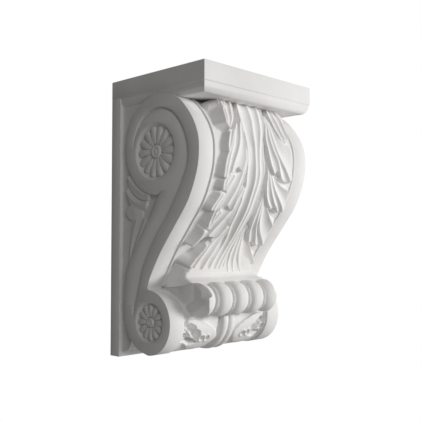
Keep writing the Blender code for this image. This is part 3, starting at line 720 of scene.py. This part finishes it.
# Each eye: the ring round it, its hole and the floor of its hole
EYE_RING = 4.7
EYE_RING_HALF = 1.6
EYE_RING_HIGH = 0.9
EYE_HOLE = 2.1
EYE_FLOOR = -5.5
BELT_HALF = 6.2
COLLAR_PLACE = 76.4
COLLAR_HALF = 1.9


def bolster_ground(across, turn):
    """The bolster's sunk middle, with a belt of two rolls and a collar at each end, all flatter below."""
    away = np.abs(across)
    ground = np.interp(turn, [-140, -95, -75, -50, 66], [-0.6, -0.3, -1.4, -4.2, -4.2])
    collar = np.sqrt(np.clip(1 - ((away - COLLAR_PLACE) / COLLAR_HALF) ** 2, 0, 1))
    belt = np.sqrt(np.clip(1 - ((away - BELT_HALF) / BELT_HALF) ** 2, 0, 1))
    collar = np.interp(turn, [-95, -50], [0.6, 2.6]) * collar + ground
    belt = np.interp(turn, [-95, -50], [0.4, 4.6]) * belt
    belt += ground + np.interp(turn, [-95, -50], [0.2, 1.6])
    return np.maximum(ground, np.maximum(collar, np.where(away < 2 * BELT_HALF, belt, ground)))


def husk_sheet(side):
    """Points on the swollen husk of one side of the bolster."""
    upper, lower = evenly(HUSK_UPPER, 120), evenly(HUSK_LOWER, 120)
    t = np.linspace(0, 1, 120)
    places, heights = [], []
    for v in np.linspace(0, 1, 130):
        spot = upper + (lower - upper) * v
        dome = np.sqrt(np.clip(1 - (2 * v - 1) ** 2, 0, 1)) * np.sqrt(np.clip(1 - (2 * t - 1) ** 6, 0, 1))
        places.append(spot * (side, 1))
        lifted = np.interp(spot[:, 1], [-90, -50], [HUSK_SWELL, 0.0])
        heights.append(HUSK_SWELL * (dome - 1) + lifted)
    return np.concatenate(places), np.concatenate(heights)


def make_bolster():
    """The bolster's middle, with a husk either side of its belt and two eyes in each husk."""
    relief = Relief(across=(-79, 79), down=(-140, 66), step=0.7)
    across, turn = np.meshgrid(relief.across, relief.down)
    relief.height = bolster_ground(across, turn)
    for side in (1, -1):
        relief.lay(*husk_sheet(side), slope=2.2, reach=4)
        relief.lay(evenly(HUSK_RIM, 300) * (side, 1), np.full(300, -0.6), slope=1.5, reach=3)
        relief.score(evenly(HUSK_GROOVE, 12) * (side, 1), 1.3, 1.5)
        for cut in HUSK_CUTS:
            relief.drill([(side * x, turned) for x, turned in cut], -9.0, steep=1.6)
    relief.soothe(2)
    for side in (1, -1):
        for eye in HUSK_EYES:
            away = np.hypot(across - side * eye[0], (turn - eye[1]) * DEGREE)
            relief.height += EYE_RING_HIGH * np.clip(1 - ((away - EYE_RING) / EYE_RING_HALF) ** 2, 0, 1)
            hole = EYE_FLOOR + 6.0 * np.maximum(away - EYE_HOLE, 0) ** 0.8
            relief.height = np.minimum(relief.height, hole)
    return shade(relief.piece("bolster", on_bolster, 10.5), 70)


# A flower's rings, as shares of its radius: where the petals begin, and the rings of the button within them
PETAL_ROOT = 0.30
BUTTON_EDGE = 0.245
BOSS_EDGE = 0.12
BUTTON_RINGS = (0.285, 0.27, 0.262, 0.25, 0.24, 0.22, 0.19, 0.16, 0.13, 0.115, 0.10, 0.08, 0.05, 0.02)


def make_flower(name, side, middle, radius, petals):
    """A daisy of hollow petals round a ringed button, on the floor of its round sinking."""
    count = petals * 20
    turns = np.linspace(0, 2 * math.pi, count, endpoint=False)
    lobe = np.abs(np.cos(turns * petals / 2))
    reach = radius * (0.77 + 0.14 * lobe**0.6)
    rings = []
    for share in [1.03, 1.0, *np.linspace(0.985, PETAL_ROOT, 26), *BUTTON_RINGS]:
        if share > 1.0:
            top = -1.5
        elif share >= PETAL_ROOT:
            run = (share - PETAL_ROOT) / (1 - PETAL_ROOT)
            arch = 1.5 + 2.6 * math.sin(math.pi * (0.12 + 0.80 * (1 - run)))
            hollow = np.clip(1 - ((lobe - 1.0) / 0.55) ** 2, 0, 1)
            hollow *= math.sin(math.pi * min(1, run * 0.9 + 0.1))
            seam = 4.0 * (1 - lobe) ** 1.5 * (0.45 + 0.55 * run)
            edge = 1.0 if share < 0.97 else 0.45
            top = (arch - 0.88 * hollow - seam) * edge
        elif share > BUTTON_EDGE:
            top = 0.6
        elif share > BOSS_EDGE:
            top = 3.3 + 0.35 * math.cos((share - 0.19) * 40)
        else:
            top = 2.7 + 1.1 * (1 - (share / BOSS_EDGE) ** 2)
        scale = share * (reach if share > PETAL_ROOT else radius * 0.92)
        y = middle[0] + scale * np.cos(turns)
        z = middle[1] + scale * np.sin(turns)
        rings.append(world(side * (OUTER + (top - FLOWER_DEPTH) * UNIT), y, z))
    return shade(lofted(name, rings), 55)


def channel_cutter(side):
    """Cuts the scroll's hollow: a steep outer wall, and a slope up to the inner edge."""
    line = smooth_line(CHANNEL_LINE, 8)
    widths = smooth_line([(w, 0) for w in CHANNEL_WIDTH], 8)[:, 0]
    slope = np.gradient(line, axis=0)
    slope /= np.hypot(*slope.T)[:, None]
    inward = np.column_stack([-slope[:, 1], slope[:, 0]])
    above = side * (OUTER + 0.001)
    rings = []
    for point, towards, width in zip(line, inward, widths):
        sink = CHANNEL_DEPTH * min(1.0, width / 5.0)
        rings.append([
            world(above, *(point - 0.2 * towards)),
            world(side * (OUTER - sink * UNIT), *(point + 0.7 * towards)),
            world(side * (OUTER - 0.93 * sink * UNIT), *(point + 1.9 * towards)),
            world(above, *(point + towards * width * (1 + 1 / sink))),
        ])
    return lofted("channel", rings)


def sinking_cutter(side, middle, radius):
    """Cuts a round sinking with a dished wall and a flat floor."""
    rings = []
    for reach, rise in ((radius + 1.4, 1.0), *((radius * share, rise) for share, rise in SINKING)):
        y, z = arc(middle, reach, start=0, end=360, steps=128)[:-1].T
        rings.append(world(side * (OUTER + rise * UNIT), y, z))
    return lofted("sinking", rings)


def make_cheek(name, side):
    """The flush scroll of one side, with its sunk channel and its two round sinkings."""
    around = arc(BOLSTER_MIDDLE, BOLSTER_RADIUS, start=90, end=270, steps=72)
    volute = arc(VOLUTE_MIDDLE, VOLUTE_RADIUS, start=-88, end=90, steps=84)
    outline = [*smooth_line(FRONT_LINE, 12), *around[:-1], *smooth_line(BACK_LINE, 6), *volute[:-1]]
    piece = plate(name, outline, side * PANEL, side * OUTER)
    carve_out(piece, channel_cutter(side))
    for middle, radius, _ in (UPPER_FLOWER, LOWER_FLOWER):
        carve_out(piece, sinking_cutter(side, middle, radius))
    soften(piece, width=0.0005, angle=40)
    return shade(piece, 35)


def make_core():
    """The body between the sunk fields, behind the scroll and the leaf."""
    front = smooth_line(FRONT_LINE, 8)[6:] + CORE_IN
    around = arc(BOLSTER_MIDDLE, BOLSTER_RADIUS - CORE_SUNK, start=90, end=270, steps=40)
    behind = arc(BOLSTER_MIDDLE, BOLSTER_RADIUS, start=272, end=333, steps=20)[1:]
    under = smooth_line(UNDERSIDE, 6)[1:]
    top = [(CORE_BACK, CONSOLE_TOP), (-84.5, CONSOLE_TOP)]
    outline = [*top, *front, *around, *behind, *under, (CORE_BACK, UNDERSIDE[-1][1])]
    core = plate("core", outline, -FIELD, FIELD)
    soften(core, width=0.0004, angle=50)
    return shade(core, 35)


# The bead's section, as (across, rise), its place inside the fillet and its rings along the front
BEAD_LINE = [
    (-3.1, -1.5), (-2.9, 0.05), (-2.5, -0.5), (-2.2, -0.1), (-1.6, 0.9), (-0.8, 1.45), (0.0, 1.6),
    (0.8, 1.45), (1.6, 0.9), (2.2, -0.1), (2.5, -0.5), (2.9, 0.05), (3.1, -1.5),
]
BEAD_SET = 2.6
BEAD_STEPS = 12 * (len(FRONT_LINE) - 1) + 1


def make_bead(name, side):
    """A thin bead between two fine grooves, inside the flat fillet."""
    middle = PANEL / UNIT - BEAD_SET
    rings = [
        [on_front(side * (middle + across), down, rise) for across, rise in BEAD_LINE]
        for down in np.linspace(FRONT_START, FRONT_RUN[-1], BEAD_STEPS)
    ]
    return shade(lofted(name, rings), 40)


def moulded_block(size, middle, towards, steps, reaches, anchor):
    """A box with a moulding: one face grows by steps, as (inwards, outwards).

    The face's edges lie at the reaches from the anchor, and draw in towards it. A reach of None stays."""
    bpy.ops.mesh.primitive_cube_add(size=1, location=middle)
    piece = bpy.context.object
    piece.scale = size
    bpy.ops.object.transform_apply(location=True, rotation=True, scale=True)
    bpy.ops.object.mode_set(mode="EDIT")
    work = bmesh.from_edit_mesh(piece.data)
    for face in work.faces:
        face.select_set(face.normal.dot(towards) > 0.5)
    bmesh.update_edit_mesh(piece.data)
    last_in, last_out = 0.0, 0.0
    for inwards, outwards in steps:
        bpy.ops.mesh.extrude_region_move(TRANSFORM_OT_translate={"value": towards * (outwards - last_out)})
        sizes = [1 if reach is None else (reach - inwards) / (reach - last_in) for reach in reaches]
        bpy.ops.transform.resize(value=sizes, center_override=anchor)
        last_in, last_out = inwards, outwards
    bpy.ops.object.mode_set(mode="OBJECT")
    return piece


# The cap's moulding, as shares of its height and of how far it is set in: a small step and a quarter round
OVOLO_LINE = ((0.08, 0.17), (0.3, 0.2), (0.5, 0.29), (0.66, 0.42), (0.8, 0.58), (0.92, 0.78), (1.0, 1.0))


def make_cap():
    """The square cap: a fascia over a quarter round, with a small step between."""
    size = (WIDTH, CAP_DEPTH, FASCIA)
    middle = (0, -CAP_DEPTH / 2, HEIGHT / 2 - FASCIA / 2)
    steps = [(OVOLO_SET * inset, OVOLO * share) for share, inset in OVOLO_LINE]
    piece = moulded_block(size, middle, Vector((0, 0, -1)), steps, (WIDTH / 2, CAP_DEPTH, None), (0, 0, 0))
    soften(piece, width=0.0006, angle=42)
    shade(piece, 20)
    return settle(piece, "cap")


def make_board():
    """The back board, its hollow moulding running in to the sunk fields."""
    top = HEIGHT / 2 - FASCIA / 2
    tall = top - FOOT
    size = (WIDTH - 2 * CLEAR, BOARD, tall)
    middle = (0, -BOARD / 2 - CLEAR, (top + FOOT) / 2)
    turns = [math.radians(angle) for angle in range(0, 91, 10)]
    steps = [(max(COVE * math.sin(turn), COVE_STEP), COVE * (1 - math.cos(turn))) for turn in turns]
    piece = moulded_block(size, middle, Vector((0, -1, 0)), steps, (WIDTH / 2, None, tall), (0, 0, top))
    tidy_mesh(piece)
    soften(piece, width=0.0005, angle=50)
    shade(piece, 35)
    return settle(piece, "board")


# The sprig's leaves and the two bands of its stalk: three ridge lines each, as (y, z) in the side view,
# their heights, and the share of them at which they begin
SPRIG = (
    ([[(-73, 205), (-61, 210.5), (-50, 217), (-42, 224), (-35, 228)],
      [(-71, 200), (-58, 203.5), (-46, 210.5), (-37, 218), (-31, 225.5)],
      [(-68, 194.5), (-56, 196), (-44, 201.5), (-34, 210), (-29.5, 218)]], (2.8, 4.0, 2.6), 1),
    ([[(-66, 193), (-54, 194), (-43, 199.5), (-34, 207.5), (-29.5, 213.5)],
      [(-66, 188.5), (-53, 190), (-42, 194.5), (-33, 201), (-27.5, 208)],
      [(-62, 184), (-51, 185), (-42, 187.5), (-34, 191), (-28, 199)]], (2.0, 3.4, 2.0), 1),
    ([[(-58, 183.5), (-46, 186.5), (-37, 189.5), (-31, 188.5), (-27.5, 184.5)],
      [(-58, 179), (-45, 181), (-37, 181.5), (-31, 181), (-26.8, 181)],
      [(-58, 174), (-47, 172.5), (-39, 171), (-32.5, 172.5), (-28, 176.5)]], (2.2, 3.3, 2.0), 0.3),
    ([[(-29.5, 100), (-31, 118), (-31.8, 138), (-33.5, 155), (-37, 172)],
      [(-30, 100), (-32.5, 118), (-35, 137), (-40, 155), (-46, 172)],
      [(-30.5, 100), (-34, 118), (-38.5, 136), (-47, 155), (-55, 172)]], (0.5, 1.7, 0.6), 1),
    ([[(-31, 100), (-34.5, 118), (-39.5, 136), (-48, 155), (-56, 172)],
      [(-31.5, 100), (-36, 118), (-42.5, 136), (-53, 155), (-63, 172)],
      [(-32, 100), (-37.5, 118), (-46, 136), (-58, 155), (-69, 172)]], (0.6, 1.8, 0.9), 1),
)


def make_sprig(name, side):
    """Leaves on a stalk in the sunk field, growing from behind the scroll."""
    relief = Relief(across=(-78, -24), down=(112, 230), step=0.6, ground=-1.0)
    for ridges, heights, start in SPRIG:
        ridges = [
            [(*ridge[0], height * start), *((y, z, height) for y, z in ridge[1:])]
            for ridge, height in zip(ridges, heights)
        ]
        relief.lay(*fluted(ridges, (0, 0), 0.0), slope=2.6, reach=4)
    relief.soothe(1)
    return shade(relief.piece(name, on_field(side), 3.0), 60)


# Finishes: the plaster's darker and lighter tone, and the floor's paint
DARKER_PLASTER = (0.77, 0.755, 0.735, 1)
LIGHTER_PLASTER = (0.83, 0.82, 0.805, 1)
FLOOR_PAINT = (0.85, 0.85, 0.85, 1)


class Socket:
    """A node's output that takes part in plain expressions."""

    def __init__(self, tree, output):
        self.tree = tree
        self.output = output

    def maths(self, operation, one, two):
        node = self.tree.nodes.new("ShaderNodeMath")
        node.operation = operation
        for slot, value in zip(node.inputs, (one, two)):
            if isinstance(value, Socket):
                self.tree.links.new(value.output, slot)
            else:
                slot.default_value = value
        return Socket(self.tree, node.outputs[0])

    def __add__(self, other):
        return self.maths("ADD", self, other)

    def __radd__(self, other):
        return self.maths("ADD", other, self)

    def __mul__(self, other):
        return self.maths("MULTIPLY", self, other)

    def __rmul__(self, other):
        return self.maths("MULTIPLY", other, self)


class Finish:
    """A material and its nodes."""

    def __init__(self, name):
        self.material = bpy.data.materials.new(name)
        self.material.use_nodes = True
        self.tree = self.material.node_tree
        self.shader = self.tree.nodes["Principled BSDF"]

    def node(self, kind, settings=None, values=None, out=0):
        node = self.tree.nodes.new("ShaderNode" + kind)
        for key, value in (settings or {}).items():
            setattr(node, key, value)
        for key, value in (values or {}).items():
            self.feed(node.inputs[key], value)
        return Socket(self.tree, node.outputs[out])

    def noise(self, place, scale, detail, roughness):
        values = {"Vector": place, "Scale": scale, "Detail": detail, "Roughness": roughness}
        return self.node("TexNoise", {"noise_dimensions": "3D"}, values)

    def feed(self, slot, value):
        if isinstance(value, Socket):
            self.tree.links.new(value.output, slot)
        else:
            slot.default_value = value

    def set(self, **values):
        for key, value in values.items():
            self.feed(self.shader.inputs[key.replace("_", " ")], value)


def cast_plaster():
    """Matt cast gypsum: nearly white, faintly mottled, with a fine tooth and a few tiny pits."""
    finish = Finish("plaster")
    place = finish.node("TexCoord", out="Object")
    cloud = finish.noise(place, scale=14.0, detail=4.0, roughness=0.55)
    grain = finish.noise(place, scale=900.0, detail=3.0, roughness=0.6)
    wave = finish.noise(place, scale=120.0, detail=3.0, roughness=0.5)
    cells = {"Vector": place, "Scale": 160.0, "Randomness": 1.0}
    pits = finish.node("TexVoronoi", {"feature": "F1"}, cells)
    edges = {"Value": pits, "From Min": 0.05, "From Max": 0.16, "To Min": 0.0, "To Max": 1.0}
    pit = finish.node("MapRange", {"interpolation_type": "SMOOTHSTEP"}, edges)
    blend = finish.node("MapRange", {}, {"Value": cloud, "From Min": 0.35, "From Max": 0.65})
    tones = {"Factor": blend, "A": DARKER_PLASTER, "B": LIGHTER_PLASTER}
    colour = finish.node("Mix", {"data_type": "RGBA"}, tones, out="Result")
    height = grain * 0.35 + wave * 0.9 + pit * 0.25
    bump = finish.node("Bump", {}, {"Strength": 0.35, "Distance": 0.0006, "Height": height})
    finish.set(Base_Color=colour, Specular_IOR_Level=0.35, Roughness=0.80 + grain * 0.12, Normal=bump)
    return finish.material


def pale_floor():
    """The floor's plain matt paint."""
    finish = Finish("floor_paint")
    finish.set(Base_Color=FLOOR_PAINT, Roughness=0.9)
    return finish.material


# The floor, in metres
FLOOR_SIZE = 4.0
FLOOR_HEIGHT = -1.3


def main():
    """The corbel's pieces and the floor."""
    plaster = cast_plaster()
    pieces = [make_cap(), make_board(), make_core(), make_leaf(), make_roll(), make_neck(), make_bolster()]
    for side, hand in ((-1, "left"), (1, "right")):
        pieces.append(make_cheek("scroll_" + hand, side))
        pieces.append(make_bead("bead_" + hand, side))
        pieces.append(make_sprig("sprig_" + hand, side))
        pieces.append(make_flower("upper_flower_" + hand, side, *UPPER_FLOWER))
        pieces.append(make_flower("lower_flower_" + hand, side, *LOWER_FLOWER))
    for piece in pieces:
        piece.data.materials.clear()
        piece.data.materials.append(plaster)
        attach(piece, "root")
        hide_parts("corbel")

    bpy.ops.mesh.primitive_plane_add(size=FLOOR_SIZE, location=(0, 0, FLOOR_HEIGHT))
    floor = bpy.context.object
    floor.name = "floor"
    floor.data.materials.append(pale_floor())


# The camera, fitted to the corners of the block in the photo, with its focal length in the photo's pixels
PHOTO = 422
FOCAL_LENGTH = 682.9
CAMERA_PLACE = (-0.64498, -0.69792, -0.03619)
CAMERA_YAW = 46.243
CAMERA_PITCH = 2.925
CAMERA_ROLL = -0.006
# What the lights aim at, and how much light comes from all round
LIT = Vector((0, -0.08, 0))
ROOM_LIGHT = 0.09


def add_light(name, turn, tilt, far, size, power):
    """A square soft light at this turn to the right of the front and this tilt above level."""
    a, e = math.radians(turn), math.radians(tilt)
    away = Vector((math.sin(a) * math.cos(e), -math.cos(a) * math.cos(e), math.sin(e)))
    light = bpy.data.lights.new(name, "AREA")
    light.shape = "SQUARE"
    light.size = size
    light.energy = power
    lamp = bpy.data.objects.new(name, light)
    lamp.location = LIT + away * far
    lamp.rotation_euler = away.to_track_quat("Z", "Y").to_euler()
    bpy.context.scene.collection.objects.link(lamp)


def light_studio():
    """Two soft lights in a faintly lit room, whose walls look white to the camera."""
    scene = bpy.context.scene
    scene.view_settings.view_transform = "Standard"
    add_light("key", turn=43, tilt=5, far=2.2, size=0.7, power=41)
    add_light("fill", turn=-27, tilt=20, far=2.5, size=0.9, power=13)
    room = bpy.data.worlds.new("studio")
    scene.world = room
    room.use_nodes = True
    nodes, links = room.node_tree.nodes, room.node_tree.links
    soft = nodes["Background"]
    soft.inputs["Color"].default_value = (1, 1, 1, 1)
    soft.inputs["Strength"].default_value = ROOM_LIGHT
    white = nodes.new("ShaderNodeBackground")
    white.inputs["Color"].default_value = (1, 1, 1, 1)
    white.inputs["Strength"].default_value = 1.0
    ray = nodes.new("ShaderNodeLightPath")
    mix = nodes.new("ShaderNodeMixShader")
    links.new(ray.outputs["Is Camera Ray"], mix.inputs["Fac"])
    links.new(soft.outputs[0], mix.inputs[1])
    links.new(white.outputs[0], mix.inputs[2])
    links.new(mix.outputs[0], nodes["World Output"].inputs["Surface"])


def place_camera():
    """The photo's camera, which looks the way that its three angles say."""
    camera = bpy.data.cameras.new("camera")
    camera.sensor_width = 36
    camera.lens = FOCAL_LENGTH / PHOTO * camera.sensor_width
    camera.clip_start = 0.01
    camera.dof.use_dof = False
    view = bpy.data.objects.new("camera", camera)
    yaw, pitch, roll = (math.radians(angle) for angle in (CAMERA_YAW, CAMERA_PITCH, CAMERA_ROLL))
    ahead = Vector((math.sin(yaw) * math.cos(pitch), math.cos(yaw) * math.cos(pitch), math.sin(pitch)))
    right = Vector((math.cos(yaw), -math.sin(yaw), 0))
    up = right.cross(ahead)
    side = math.cos(roll) * right + math.sin(roll) * up
    up = -math.sin(roll) * right + math.cos(roll) * up
    turn = view.matrix_world.to_3x3()
    turn.col[0], turn.col[1], turn.col[2] = side, up, -ahead
    view.matrix_world = turn.to_4x4()
    view.location = CAMERA_PLACE
    bpy.context.scene.collection.objects.link(view)
    bpy.context.scene.camera = view


main()
light_studio()
place_camera()
